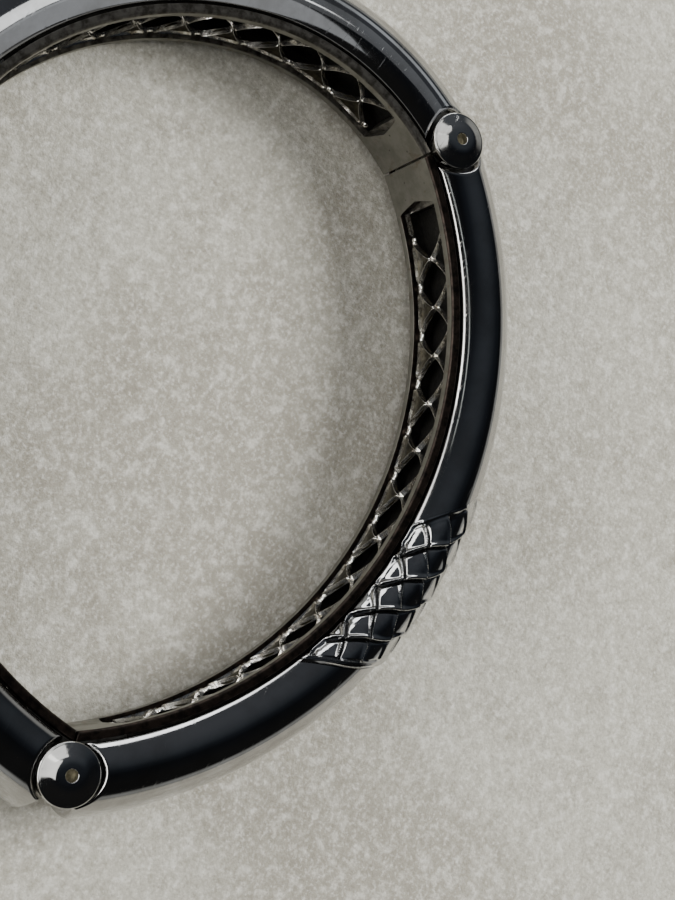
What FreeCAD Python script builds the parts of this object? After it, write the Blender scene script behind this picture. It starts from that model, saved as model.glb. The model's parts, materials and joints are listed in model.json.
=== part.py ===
import FreeCAD, Part
import math
import os
from FreeCAD import Vector

# Hinged oval bangle: three curved hollow segments, joined by two pinned knuckles
# and closed by a third one. Millimetres. The ring lies flat and Z is its axis.
# The front segment is centred on -Y. "Along" means counter-clockwise seen from +Z,
# "off" is the distance outwards from the inner wall.

# --- Ring: inner wall radii and angles -------------------------------------------
front_radius = 35.0
front_angle = 110.0
side_tight_radius = 20.5      # the side segment bends tightly after its knuckle
side_tight_angle = 51.0
side_flat_radius = 28.0       # and more gently towards the closure
side_flat_angle = 56.0
side_bend = 10.5              # turn of the inner wall at the side knuckle
closing_bend = 37.0           # turn of the inner wall at the closing knuckle
seam_gap = 0.12               # between the inner walls of neighbouring segments

# --- Cross-section of a segment --------------------------------------------------
liner_height = 7.6
liner_thickness = 0.8
liner_chamfer = 0.25
shell_height = 9.8
shell_depth = 7.0             # inner wall to the outermost line
shell_centre = 3.3            # off of the oval's centre
shell_wall = 0.9
cavity_height = 6.6           # straight part of the cavity behind the liner
fixed_gap = 0.03              # between pieces soldered or pressed together

# --- Openwork in the inner wall --------------------------------------------------
end_plate = 4.0               # plain inner wall beside each knuckle
window_height = 5.8
lattice_thickness = 0.6
lattice_inset = 0.2           # lattice face behind the inner wall
lattice_pitch = 4.35
bar_width = 0.5
rail_width = 0.45
tray_depth = 1.5
tray_sheet = 0.3

# --- Braided band on the front segment -------------------------------------------
braid_start = 18.2            # along the front segment's inner wall
braid_length = 15.3
braid_slant = 47.0            # lean of both its ends, seen from above
braid_sunk = 0.35
braid_proud = 0.37
braid_rim = 0.2               # shell left between the band and the cavity

# --- Knuckles --------------------------------------------------------------------
pivot_off = 3.3
pin_radius = 0.8
running_gap = 0.05            # tongue on its pin
barrel_radius = 2.2
barrel_gap = 0.2
barrel_height = 6.4
tongue_height = 2.3
tongue_gap = 0.1              # tongue to each leaf
web_width = 2.2
web_overlap = 0.4             # of a web with its end piece
dome_radius = 2.5
dome_gap = 0.3
dome_seat = 3.85              # underside of the dome's rim above the middle plane
dome_skirt = 0.75
dome_rise = 0.7
dome_land = 1.1               # radius of the flat on top
dome_knee_out = 0.62          # the rounding's middle, as shares of its width and rise
dome_knee_up = 0.68
collar_radius = 1.6
pinhole_radius = 0.5
opening_angle = 56.0          # travel of each hinge
opening_margin = 2.0          # free angle left at the end of the travel
escape_turn = 12.0            # of either hinge, by which the closure is clear
magnet_radius = 0.9
magnet_length = 1.0
magnet_wall = 0.1             # between the barrel's magnet and the pin
magnet_sunk = 0.05            # of the cup's magnet below the seat
pin_recess = 0.9              # pin end below the dome's top

half_height = dome_seat + dome_skirt + dome_rise
far = 40.0                    # larger than any cut needs
spare = 1.0                   # run of a cut or a blank past what it has to reach


def direction(degrees):
    a = math.radians(degrees)
    return Vector(math.cos(a), math.sin(a), 0)


def outward(heading):
    return direction(heading - 90)


class Arc:
    """A stretch of inner wall that turns left at a constant radius."""

    def __init__(self, start, heading, radius, angle):
        self.radius = radius
        self.angle = angle
        self.start_angle = heading - 90
        self.centre = start - outward(heading) * radius
        self.end = self.point(self.length())
        self.end_heading = heading + angle

    def length(self):
        return math.radians(self.angle) * self.radius

    def at(self, s):
        return self.start_angle + math.degrees(s / self.radius)

    def point(self, s):
        return self.centre + direction(self.at(s)) * self.radius


class Joint:
    """Where two segments meet: a point on the inner wall and the bisecting direction."""

    def __init__(self, point, heading, bend):
        self.point = point
        self.along = direction(heading + bend / 2)
        self.out = outward(heading + bend / 2)
        self.pivot = point + self.out * pivot_off

    def place(self, along, out):
        return self.point + self.along * along + self.out * out


def closing_arc(start, end, end_heading):
    """The arc from start that reaches end with end_heading."""
    chord = end - start
    chord_heading = math.degrees(math.atan2(chord.y, chord.x))
    half_turn = (end_heading - chord_heading + 180) % 360 - 180
    radius = chord.Length / (2 * math.sin(math.radians(half_turn)))
    return Arc(start, end_heading - 2 * half_turn, radius, 2 * half_turn)


# --- Centre lines ----------------------------------------------------------------
front_start_heading = -front_angle / 2
front_end_heading = front_angle / 2
front_start = outward(front_start_heading) * front_radius
front = [Arc(front_start, front_start_heading, front_radius, front_angle)]
side_tight = Arc(front[0].end, front_end_heading + side_bend, side_tight_radius, side_tight_angle)
side_flat = Arc(side_tight.end, side_tight.end_heading, side_flat_radius, side_flat_angle)
side = [side_tight, side_flat]
closing = [closing_arc(side_flat.end, front_start, front_start_heading - closing_bend)]
closure_bend = (closing[0].start_angle + 90 - side_flat.end_heading + 180) % 360 - 180

side_joint = Joint(front[0].end, front_end_heading, side_bend)
closing_joint = Joint(front_start, front_start_heading - closing_bend, closing_bend)
closure = Joint(side_flat.end, side_flat.end_heading, closure_bend)


# --- Sections, drawn as faces with X as the off value and Z up -------------------
def box_section(off_low, off_high, half):
    corners = [(off_low, -half), (off_high, -half), (off_high, half), (off_low, half)]
    return polygon_section(corners)


def polygon_section(corners):
    points = [Vector(off, 0, z) for off, z in corners]
    return Part.Face(Part.makePolygon(points + points[:1]))


def oval_section(grow, off_low):
    """The shell's oval made larger by grow, without the part nearer than off_low."""
    centre = Vector(shell_centre, 0, 0)
    top = centre + Vector(0, 0, shell_height / 2 + grow)
    side_point = centre + Vector(shell_depth - shell_centre + grow, 0, 0)
    oval = Part.Face(Part.Wire(Part.Ellipse(top, side_point, centre).toShape()))
    return oval.common(box_section(off_low, shell_depth + far, far)).Faces[0]


def liner_section():
    high = liner_height / 2
    low = high - liner_chamfer
    upper = [(liner_thickness, high), (liner_chamfer, high), (0, low)]
    return polygon_section(upper + [(off, -z) for off, z in reversed(upper)])


# --- Sweeps along a segment ------------------------------------------------------
def sweep(section, segment, trim_start=0.0, trim_end=0.0):
    """Turn a section along a segment's arcs, less a length at each end."""
    pieces = []
    for arc in segment:
        low = trim_start if arc is segment[0] else 0.0
        high = arc.length() - (trim_end if arc is segment[-1] else 0.0)
        face = section.copy()
        face.translate(Vector(arc.radius, 0, 0))
        face.rotate(Vector(), Vector(0, 0, 1), arc.at(low))
        turn = math.degrees((high - low) / arc.radius)
        piece = face.revolve(Vector(), Vector(0, 0, 1), turn)
        piece.translate(arc.centre)
        pieces.append(piece)
    whole = pieces[0]
    for piece in pieces[1:]:
        whole = whole.fuse(piece)
    return whole.removeSplitter()


def segment_length(segment):
    return sum(arc.length() for arc in segment)


def station(segment, s):
    """Point on the inner wall and heading at a distance along the segment."""
    for arc in segment:
        if s <= arc.length() or arc is segment[-1]:
            return arc.point(s), arc.at(s) + 90
        s -= arc.length()


# --- Ends of the segments --------------------------------------------------------
end_run = shell_depth * math.tan(math.radians(closing_bend / 2)) + spare


def end_cutter(joint, side_sign):
    """Everything past a segment's end; side_sign is 1 where the segment ends at the
    joint and -1 where it starts there. Outside the pivot the face leans back."""
    lean = math.radians((opening_angle + opening_margin) / 2)
    outline = [(-seam_gap / 2, -far), (-seam_gap / 2, pivot_off),
               (-far * math.tan(lean), pivot_off + far), (far, pivot_off + far), (far, -far)]
    points = [joint.place(side_sign * along, out) for along, out in outline]
    face = Part.Face(Part.makePolygon(points + points[:1]))
    face.translate(Vector(0, 0, -far))
    return face.extrude(Vector(0, 0, 2 * far))


def post(joint, radius, low, high):
    return Part.makeCylinder(radius, high - low, joint.pivot + Vector(0, 0, low))


def both_ways(solid):
    """A solid and its mirror image below the middle plane."""
    return solid.fuse(solid.mirror(Vector(), Vector(0, 0, 1)))


def knuckle_room(joint):
    """Space round the barrel and round both domes."""
    barrel = post(joint, barrel_radius + barrel_gap, -half_height, half_height)
    dome = post(joint, dome_radius + dome_gap, dome_seat - dome_gap, half_height + spare)
    return barrel.fuse(both_ways(dome))


def escape(centre, turn, radius, low, high):
    """Path of the closure knuckle relative to the closing segment, as a turned slab."""
    reach = (closure.pivot - centre).Length
    slab = polygon_section([(reach - radius, low), (reach + radius, low),
                            (reach + radius, high), (reach - radius, high)])
    offset = closure.pivot - centre
    slab.rotate(Vector(), Vector(0, 0, 1), math.degrees(math.atan2(offset.y, offset.x)))
    path = slab.revolve(Vector(), Vector(0, 0, 1), turn)
    path.translate(centre)
    return path


def closure_paths():
    """Room for the closure knuckle while either hinge opens."""
    middle = dome_seat - dome_gap
    top = half_height + spare
    paths = []
    for joint in (closing_joint, side_joint):
        for radius, low, high in ((barrel_radius + barrel_gap, -middle, middle),
                                  (dome_radius + dome_gap, middle, top),
                                  (dome_radius + dome_gap, -top, -middle)):
            paths.append(escape(joint.pivot, -escape_turn, radius, low, high))
    return paths


def trim(solid, start_joint, end_joint):
    """Cut a piece of a segment to its two joints."""
    cutters = [end_cutter(start_joint, -1), end_cutter(end_joint, 1),
               knuckle_room(start_joint), knuckle_room(end_joint)]
    if start_joint is closure:
        cutters += closure_paths()
    for cutter in cutters:
        solid = solid.cut(cutter)
    return max(solid.Solids, key=lambda piece: piece.Volume)


# --- Pieces of a segment ---------------------------------------------------------
def cavity(segment, gap, *trims):
    """The space inside the shell, smaller by gap all round: an oval and a straight slot."""
    back = liner_thickness + fixed_gap + gap
    oval = sweep(oval_section(-shell_wall - gap, back), segment, *trims)
    slot = sweep(box_section(back, shell_centre, cavity_height / 2 - gap), segment, *trims)
    return oval.fuse(slot).removeSplitter()


def make_shell(segment):
    outer = sweep(oval_section(0, liner_thickness + fixed_gap), segment, -end_run, -end_run)
    return outer.cut(cavity(segment, 0, -end_run - spare, -end_run - spare))


def make_liner(segment):
    plate = sweep(liner_section(), segment, -end_run, -end_run)
    return plate.cut(sweep(box_section(-spare, liner_thickness + spare, window_height / 2),
                           segment, end_plate, end_plate))


def hole_prism(segment, s, outline):
    """A radial prism through the lattice at station s."""
    point, heading = station(segment, s)
    points = [point + direction(heading) * x + Vector(0, 0, z) for x, z in outline]
    face = Part.Face(Part.makePolygon(points + points[:1]))
    face.translate(outward(heading) * -lattice_pitch)
    return face.extrude(outward(heading) * 2 * lattice_pitch)


def make_lattice(segment):
    """Crossing bars between two rails: a row of diamonds with triangles beside them."""
    half = window_height / 2 - fixed_gap
    clear = end_plate + fixed_gap
    strip = sweep(box_section(lattice_inset, lattice_inset + lattice_thickness, half),
                  segment, clear, clear)
    room = segment_length(segment) - 2 * clear
    cells = round(room / lattice_pitch)
    pitch = room / cells
    slope = 2 * half / pitch
    shrink = 1 - bar_width / 2 * math.hypot(2 / pitch, 1 / half)
    tip = bar_width / 2 * math.hypot(1, slope)
    base = half - rail_width
    reach = (base - tip) / slope
    diamond = [(-shrink * pitch / 2, 0), (0, -shrink * half),
               (shrink * pitch / 2, 0), (0, shrink * half)]
    diamond = [(x, max(-base, min(base, z))) for x, z in diamond]
    holes = []
    for i in range(cells):
        s = clear + (i + 0.5) * pitch
        for up in (1, -1):
            triangle = [(0, up * tip), (reach, up * base), (-reach, up * base)]
            holes.append(hole_prism(segment, s, triangle))
        if i:
            holes.append(hole_prism(segment, s - pitch / 2, diamond))
    return strip.cut(Part.makeCompound(holes))


def make_tray(segment):
    """Dark tray behind the lattice."""
    front_off = liner_thickness + 2 * fixed_gap
    high = cavity_height / 2 - fixed_gap
    start = end_plate + fixed_gap
    outer = sweep(box_section(front_off, front_off + tray_depth, high), segment, start, start)
    inner_box = box_section(front_off - spare, front_off + tray_depth - tray_sheet, high - tray_sheet)
    return outer.cut(sweep(inner_box, segment, start - spare, start - spare))


def make_block(segment, at_start):
    """Solid end piece inside the shell."""
    arc = segment[0] if at_start else segment[-1]
    rest = arc.length() - end_plate + fixed_gap
    trims = (-end_run, rest) if at_start else (rest, -end_run)
    return cavity([arc], fixed_gap, *trims)


def leaf(joint, side_sign, bore, low, high):
    """A ring on the hinge axis with a web to its segment; side_sign as in end_cutter."""
    reach = barrel_radius + barrel_gap + web_overlap
    corners = [joint.pivot + joint.along * x + joint.out * y for x, y in
               ((0, -web_width / 2), (-side_sign * reach, -web_width / 2),
                (-side_sign * reach, web_width / 2), (0, web_width / 2))]
    web = Part.Face(Part.makePolygon(corners + corners[:1]))
    web.translate(Vector(0, 0, low))
    solid = web.extrude(Vector(0, 0, high - low)).fuse(post(joint, barrel_radius, low, high))
    return solid.cut(post(joint, bore, low - spare, high + spare))


def make_clevis(joint, side_sign):
    low = tongue_height / 2 + tongue_gap
    return both_ways(leaf(joint, side_sign, pin_radius + fixed_gap, low, barrel_height / 2))


def make_tongue(joint, side_sign):
    return leaf(joint, side_sign, pin_radius + running_gap, -tongue_height / 2, tongue_height / 2)


def make_barrel(joint, side_sign):
    return leaf(joint, side_sign, pin_radius + fixed_gap, -barrel_height / 2, barrel_height / 2)


# --- Braided band ----------------------------------------------------------------
def slanted_cutter(s, side_sign):
    """Everything on one side of an upright plane that leans from a station."""
    point, heading = station(front, s)
    lean = direction(heading - 90 + braid_slant)
    beyond = direction(heading + braid_slant) * side_sign
    corners = [point - lean * far, point + lean * far,
               point + lean * far + beyond * far, point - lean * far + beyond * far]
    face = Part.Face(Part.makePolygon(corners + corners[:1]))
    face.translate(Vector(0, 0, -far))
    return face.extrude(Vector(0, 0, 2 * far))


def braid_body(gap):
    """A sleeve let into the shell; it stops short of the cavity behind the liner."""
    back = liner_thickness + fixed_gap
    spread = shell_depth * math.tan(math.radians(braid_slant)) + shell_depth
    low = braid_start - shell_depth
    high = front[0].length() - braid_start - braid_length - spread
    sleeve = sweep(oval_section(braid_proud, back), front, low, high)
    for core in (oval_section(-braid_sunk - gap, back - spare),
                 box_section(0, shell_centre, cavity_height / 2 + braid_rim - gap)):
        sleeve = sleeve.cut(sweep(core, front, low - spare, high - spare))
    for s, side_sign in ((braid_start - gap, -1), (braid_start + braid_length + gap, 1)):
        sleeve = sleeve.cut(slanted_cutter(s, side_sign))
    return sleeve


# --- Pins, domes and magnets -----------------------------------------------------
def make_pin(joint):
    end = half_height - pin_recess
    return post(joint, pin_radius, -end, end)


def make_dome(joint):
    """Domed head with a collar below, a flat land on top and a small hole in it."""
    rim = dome_seat + dome_skirt
    top = rim + dome_rise
    knee = Vector(dome_land + (dome_radius - dome_land) * dome_knee_out, 0,
                  rim + dome_rise * dome_knee_up)
    edges = [Part.LineSegment(Vector(0, 0, barrel_height / 2), Vector(collar_radius, 0, barrel_height / 2)),
             Part.LineSegment(Vector(collar_radius, 0, barrel_height / 2), Vector(collar_radius, 0, dome_seat)),
             Part.LineSegment(Vector(collar_radius, 0, dome_seat), Vector(dome_radius, 0, dome_seat)),
             Part.LineSegment(Vector(dome_radius, 0, dome_seat), Vector(dome_radius, 0, rim)),
             Part.Arc(Vector(dome_radius, 0, rim), knee, Vector(dome_land, 0, top)),
             Part.LineSegment(Vector(dome_land, 0, top), Vector(0, 0, top)),
             Part.LineSegment(Vector(0, 0, top), Vector(0, 0, barrel_height / 2))]
    face = Part.Face(Part.Wire([edge.toShape() for edge in edges]))
    solid = face.revolve(Vector(), Vector(0, 0, 1), 360)
    solid.translate(joint.pivot)
    pin_end = half_height - pin_recess + fixed_gap
    solid = solid.cut(post(joint, pin_radius + fixed_gap, 0, pin_end))
    return solid.cut(post(joint, pinhole_radius, 0, half_height + spare))


def mirrored(solid):
    return solid.mirror(Vector(), Vector(0, 0, 1))


def magnet(low, gap):
    """Disc on the closure, its axis along the ring, from low towards the closing segment."""
    start = closure.pivot + closure.along * low
    return Part.makeCylinder(magnet_radius + gap, magnet_length, start, closure.along)


barrel_magnet_low = pin_radius + fixed_gap + magnet_wall
block_magnet_low = barrel_radius + barrel_gap + magnet_sunk


# --- Assembly --------------------------------------------------------------------
def build():
    parts = {}
    segments = (("front", front, closing_joint, side_joint),
                ("side", side, side_joint, closure),
                ("closing", closing, closure, closing_joint))
    knuckles = {("front", True): make_clevis(closing_joint, -1),
                ("front", False): make_clevis(side_joint, 1),
                ("side", True): make_tongue(side_joint, -1),
                ("side", False): make_barrel(closure, 1),
                ("closing", True): None,
                ("closing", False): make_tongue(closing_joint, 1)}
    block_names = {("front", True): "front_closing_clevis", ("front", False): "front_side_clevis",
                   ("side", True): "side_tongue", ("side", False): "side_closure_barrel",
                   ("closing", True): "closing_cup", ("closing", False): "closing_tongue"}
    for name, segment, start_joint, end_joint in segments:
        parts[name + "_shell"] = trim(make_shell(segment), start_joint, end_joint)
        parts[name + "_liner"] = trim(make_liner(segment), start_joint, end_joint)
        parts[name + "_lattice"] = make_lattice(segment)
        parts[name + "_tray"] = make_tray(segment)
        for at_start in (True, False):
            block = trim(make_block(segment, at_start), start_joint, end_joint)
            knuckle = knuckles[name, at_start]
            if knuckle:
                block = block.fuse(knuckle).removeSplitter()
            parts[block_names[name, at_start]] = block

    parts["front_shell"] = parts["front_shell"].cut(braid_body(fixed_gap))
    parts["front_braid"] = braid_body(0)

    for name, joint in (("side_hinge", side_joint), ("closing_hinge", closing_joint),
                        ("closure", closure)):
        parts[name + "_pin"] = make_pin(joint)
        parts[name + "_upper_dome"] = make_dome(joint)
        parts[name + "_lower_dome"] = mirrored(make_dome(joint))

    hole = Part.makeCylinder(magnet_radius + fixed_gap, far, closure.pivot
                             + closure.along * (barrel_magnet_low - fixed_gap), closure.along)
    parts["side_closure_barrel"] = parts["side_closure_barrel"].cut(hole)
    socket = Part.makeCylinder(magnet_radius + fixed_gap, magnet_length + block_magnet_low + fixed_gap,
                               closure.pivot, closure.along)
    parts["closing_cup"] = parts["closing_cup"].cut(socket)
    parts["barrel_magnet"] = magnet(barrel_magnet_low, 0)
    parts["cup_magnet"] = magnet(block_magnet_low, 0)
    return parts


def ring_centre(parts):
    box = FreeCAD.BoundBox()
    for shape in parts.values():
        box.add(shape.optimalBoundingBox(False))
    return box.Center


if __name__ == "__main__":
    parts = build()
    centre = ring_centre(parts)
    os.makedirs("parts", exist_ok=True)
    for node, shape in parts.items():
        shape.translate(-centre)
        solid = shape.Solids[0] if len(shape.Solids) == 1 else shape
        print(node, len(shape.Solids), shape.isValid(), round(shape.Volume, 2))
        solid.exportStep("parts/%s.step" % node)
    for name, joint in (("side_hinge", side_joint), ("closing_hinge", closing_joint),
                        ("closure", closure)):
        print("joint", name, tuple(joint.pivot - centre), tuple(joint.out))
    print("centre", tuple(centre), "closure bend", closure_bend,
          "closing arc", closing[0].radius, closing[0].angle)
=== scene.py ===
import json
import math

import bmesh
import bpy
import numpy as np
from mathutils import Matrix, Vector


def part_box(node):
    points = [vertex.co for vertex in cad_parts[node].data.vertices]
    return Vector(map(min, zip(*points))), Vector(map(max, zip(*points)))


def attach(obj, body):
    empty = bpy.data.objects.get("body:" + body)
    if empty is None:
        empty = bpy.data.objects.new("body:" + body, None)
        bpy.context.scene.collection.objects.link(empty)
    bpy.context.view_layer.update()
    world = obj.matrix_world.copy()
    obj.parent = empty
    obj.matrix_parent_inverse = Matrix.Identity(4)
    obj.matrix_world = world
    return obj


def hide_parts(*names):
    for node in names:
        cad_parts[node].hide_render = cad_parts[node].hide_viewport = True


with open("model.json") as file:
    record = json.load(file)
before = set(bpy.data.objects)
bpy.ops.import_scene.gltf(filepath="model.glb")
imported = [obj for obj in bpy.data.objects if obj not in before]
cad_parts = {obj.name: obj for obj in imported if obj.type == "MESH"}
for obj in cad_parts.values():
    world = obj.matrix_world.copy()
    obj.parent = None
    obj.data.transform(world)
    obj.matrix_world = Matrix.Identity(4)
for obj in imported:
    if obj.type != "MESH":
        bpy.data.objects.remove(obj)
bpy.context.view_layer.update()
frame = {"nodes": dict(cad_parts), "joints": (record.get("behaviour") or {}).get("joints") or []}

# Hinged oval bangle. Lengths below are in millimetres, as in the CAD source, and MM
# turns them into metres. A place on a segment is (s, off, z): s along its inner wall,
# off outwards from the inner wall, z up.
MM = 0.001

# --- Ring ------------------------------------------------------------------------
FRONT_RADIUS = 35.0
FRONT_ANGLE = 110.0
SIDE_TIGHT = (20.5, 51.0)
SIDE_FLAT = (28.0, 56.0)
SIDE_BEND = 10.5
CLOSING_BEND = 37.0
SEAM_GAP = 0.12

# --- Section ---------------------------------------------------------------------
LINER_HALF = 3.8
LINER_THICKNESS = 0.8
SHELL_HALF = 4.9
SHELL_DEPTH = 7.0
SHELL_CENTRE = 3.3
SHELL_WALL = 0.9
SLOT_HALF = 3.3
FIXED_GAP = 0.03
LINER_BACK = LINER_THICKNESS + FIXED_GAP    # off where the shell starts
OVAL_HALF = SHELL_DEPTH - SHELL_CENTRE
EDGE_ROUND = 0.42             # of the shell's edge beside the liner
LIP_ROUND = 0.32              # of the shell's ends
LOOP_POINTS = 181
EDGE_STEPS = 6                # steps beside an edge that are cut in half
FINE_STEPS = 4001             # round the oval, to measure its length
LINER_CHAMFER = 0.2
LINER_BEVEL = 0.07
TINY = 1e-6

# --- Openwork --------------------------------------------------------------------
END_PLATE = 4.0
WINDOW_HALF = 2.9
WINDOW_PEAK = 0.7             # how much further the window's ends reach half-way up
LATTICE_PITCH = 4.3
FIRST_FOOT = 0.7              # from the window's end to the first and the last bead
LAST_FOOT = 2.4
BAR_WIDTH = 0.26
RAIL_WIDTH = 0.24
KNOT_RADIUS = 0.32            # of the beads at the bars' feet
CROSSING_RADIUS = 0.20        # of the beads where two bars cross
RIDGE_FOOT = 0.78             # off of the bars' feet
RAIL_INSET = 0.22             # from the window's edge to a rail's middle
RAIL_SHORT = 0.42             # from a bead to the end of a rail
RAIL_HEIGHT = 0.46
BAR_HEIGHT = 0.50
BAR_START = 0.10              # from a bead's middle, along the segment
BAR_BOW = 0.24
INFILL_FRONT = 0.56
INFILL_BACK = 0.74
INFILL_DISH = 0.14
SECOND = 1                    # number of a piece's second material

# --- Braid -----------------------------------------------------------------------
BRAID_START = 18.6
BRAID_LENGTH = 15.6
BRAID_SLANT = 0.88            # shift along the segment per length round the section
BRAID_SUNK = 0.35
BRAID_PROUD = 0.36

# --- Knuckles --------------------------------------------------------------------
PIVOT_OFF = 3.3
BARREL_ROOM = 2.4
DOME_RADIUS = 2.5
DOME_ROOM = 2.8
DOME_SEAT = 3.85
DOME_CORNER = 0.20
DOME_SLOPE = 25.0
DOME_FLAT = 0.75              # radius where the top starts to bend down
DOME_BEND = 0.95
HALF_HEIGHT = 5.3
PINHOLE_RADIUS = 0.5
PINHOLE_DEPTH = 0.75
PINHOLE_BROW = 0.07           # rounding of the hole's edge
TOP_SLOPE = 3                 # of the head beside its hole, in degrees
COLLAR_RADIUS = 1.6
COLLAR_FOOT = 3.2
DOME_TURNS = 96
OPENING_LEAN = 29.0
ESCAPE_TURN = 12.0


def direction(degrees):
    a = math.radians(degrees)
    return np.array((math.cos(a), math.sin(a)))


def smooth(t):
    """From 0 to 1 as t does, level at both ends."""
    return t * t * (3 - 2 * t)


class Arc:
    """A stretch of inner wall that turns left at a constant radius."""

    def __init__(self, start, heading, radius, angle):
        self.radius = radius
        self.angle = angle
        self.start_angle = heading - 90
        self.centre = start - direction(self.start_angle) * radius
        self.length = math.radians(angle) * radius
        self.end = self.centre + direction(self.start_angle + angle) * radius
        self.end_heading = heading + angle


class Segment:
    """One of the ring's three segments: places on it, and the joints at its ends."""

    def __init__(self, name, arcs):
        self.name = name
        self.arcs = arcs
        self.length = sum(arc.length for arc in arcs)

    def place(self, s, off):
        """X and Y, in millimetres, of places along the segment."""
        s, off = np.broadcast_arrays(np.asarray(s, float), np.asarray(off, float))
        x = np.zeros(s.shape)
        y = np.zeros(s.shape)
        low = 0.0
        for arc in self.arcs:
            last = arc is self.arcs[-1]
            here = (s >= low if low else np.full(s.shape, True))
            if not last:
                here = here & (s < low + arc.length)
            a = np.radians(arc.start_angle) + (s - low) / arc.radius
            x = np.where(here, arc.centre[0] + np.cos(a) * (arc.radius + off), x)
            y = np.where(here, arc.centre[1] + np.sin(a) * (arc.radius + off), y)
            low += arc.length
        return x, y

    def points(self, s, off, z):
        """World coordinates in metres."""
        x, y = self.place(s, off)
        z = np.broadcast_to(np.asarray(z, float), x.shape)
        return np.stack((x - SHIFT[0], y - SHIFT[1], z), axis=-1) * MM


class Joint:
    """Where two segments meet."""

    def __init__(self, point, heading, bend):
        self.point = point
        self.along = direction(heading + bend / 2)
        self.out = direction(heading + bend / 2 - 90)
        self.pivot = point + self.out * PIVOT_OFF


def closing_arc(start, end, end_heading):
    """The arc from start to end that arrives with this heading."""
    chord = end - start
    heading = math.degrees(math.atan2(chord[1], chord[0]))
    half_turn = (end_heading - heading + 180) % 360 - 180
    radius = float(np.hypot(*chord)) / (2 * math.sin(math.radians(half_turn)))
    return Arc(start, end_heading - 2 * half_turn, radius, 2 * half_turn)


def make_ring():
    start_heading = -FRONT_ANGLE / 2
    start = direction(start_heading - 90) * FRONT_RADIUS
    front_arc = Arc(start, start_heading, FRONT_RADIUS, FRONT_ANGLE)
    tight = Arc(front_arc.end, front_arc.end_heading + SIDE_BEND, *SIDE_TIGHT)
    flat = Arc(tight.end, tight.end_heading, *SIDE_FLAT)
    closing_wall = closing_arc(flat.end, start, start_heading - CLOSING_BEND)
    closure_bend = (closing_wall.start_angle + 90 - flat.end_heading + 180) % 360 - 180
    segments = [Segment("front", [front_arc]), Segment("side", [tight, flat]),
                Segment("closing", [closing_wall])]
    knuckles = [Joint(start, start_heading - CLOSING_BEND, CLOSING_BEND),
                Joint(front_arc.end, front_arc.end_heading, SIDE_BEND),
                Joint(flat.end, flat.end_heading, closure_bend)]
    return segments, knuckles


(front, side, closing), (closing_joint, side_joint, closure) = make_ring()
hinge_places = {joint["name"]: np.array(joint["pos_m"]) for joint in frame["joints"]}
SHIFT = closing_joint.pivot - hinge_places["closing_hinge"][:2] / MM


# --- Mesh helpers ----------------------------------------------------------------
class Builder:
    """Collects vertices and faces of one piece; faces carry a material number."""

    def __init__(self):
        self.verts = []
        self.faces = []
        self.slots = []
        self.count = 0

    def add(self, points):
        points = np.asarray(points, float).reshape(-1, 3)
        first = self.count
        self.verts.append(points)
        self.count += len(points)
        return first

    def face(self, corners, slot=0):
        self.faces.append(tuple(int(c) for c in corners))
        self.slots.append(slot)

    def grid(self, points, wrap=False, slot=0, flip=False):
        """A sheet of quads through points[row, column]; wrap joins the last column to the
        first. slot is one material number, or one for each row of quads."""
        rows, columns = points.shape[:2]
        first = self.add(points)
        index = first + np.arange(rows * columns).reshape(rows, columns)
        left = index if wrap else index[:, :-1]
        right = np.roll(index, -1, axis=1) if wrap else index[:, 1:]
        quads = np.stack((left[:-1], left[1:], right[1:], right[:-1]), axis=-1)
        slots = np.broadcast_to(np.reshape(slot, (-1, 1)), quads.shape[:2])
        quads = quads.reshape(-1, 4)
        if flip:
            quads = quads[:, ::-1]
        self.faces.extend(map(tuple, quads.tolist()))
        self.slots.extend(slots.ravel().tolist())
        return index

    def close_rims(self, outside, inside):
        """Joins two sheets of one size along their four sides."""
        rows, columns = outside.shape
        for row in (0, -1):
            for i in range(columns - 1):
                self.face((outside[row, i], outside[row, i + 1], inside[row, i + 1], inside[row, i]))
        for column in (0, -1):
            for i in range(rows - 1):
                self.face((outside[i, column], outside[i + 1, column],
                           inside[i + 1, column], inside[i, column]))

    def make(self, name, materials, smooth_angle=40.0):
        mesh = bpy.data.meshes.new(name)
        mesh.from_pydata(np.concatenate(self.verts).tolist(), [], self.faces)
        mesh.polygons.foreach_set("material_index", self.slots)
        for material in materials:
            mesh.materials.append(material)
        mesh.validate()
        mesh.update()
        piece = bpy.data.objects.new(name, mesh)
        bpy.context.scene.collection.objects.link(piece)
        tidy_normals(mesh)
        mesh.shade_smooth()
        mesh.set_sharp_from_angle(angle=math.radians(smooth_angle))
        return piece


def tidy_normals(mesh):
    bm = bmesh.new()
    bm.from_mesh(mesh)
    bmesh.ops.recalc_face_normals(bm, faces=bm.faces)
    bm.to_mesh(mesh)
    bm.free()


def ride(piece, body, slot, *nodes):
    """Says which body a piece moves with and which CAD nodes it stands for; slot is not used."""
    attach(piece, body)
    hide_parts(*nodes)


# --- Materials -------------------------------------------------------------------
# Colours are linear, and pairs of them are light and dark. Noise scales are per metre and
# bump distances in metres.
RANGE_SOCKETS = ("From Min", "From Max", "To Min", "To Max")
SCRATCH_TURNS = ((0, 0, 20), (35, 0, 75), (10, 50, -40), (70, 20, 130))
SILVER_COLOURS = ((0.52, 0.52, 0.52), (0.40, 0.395, 0.385))
HEAD_COLOURS = ((0.66, 0.66, 0.65), (0.48, 0.475, 0.46))
SATIN_COLOURS = ((0.27, 0.265, 0.235), (0.19, 0.185, 0.16))
SATIN_STAIN = (0.16, 0.12, 0.085)
SATIN_PIT = (0.03, 0.022, 0.018)
RIDGE_COLOURS = ((0.95, 0.94, 0.91), (0.34, 0.31, 0.26))
OLIVE_COLOURS = ((0.055, 0.048, 0.026), (0.012, 0.010, 0.007))
BLACK_COLOURS = ((0.012, 0.011, 0.009), (0.003, 0.003, 0.003))
BRAID_COLOURS = ((0.62, 0.62, 0.62), (0.45, 0.45, 0.45))
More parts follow.
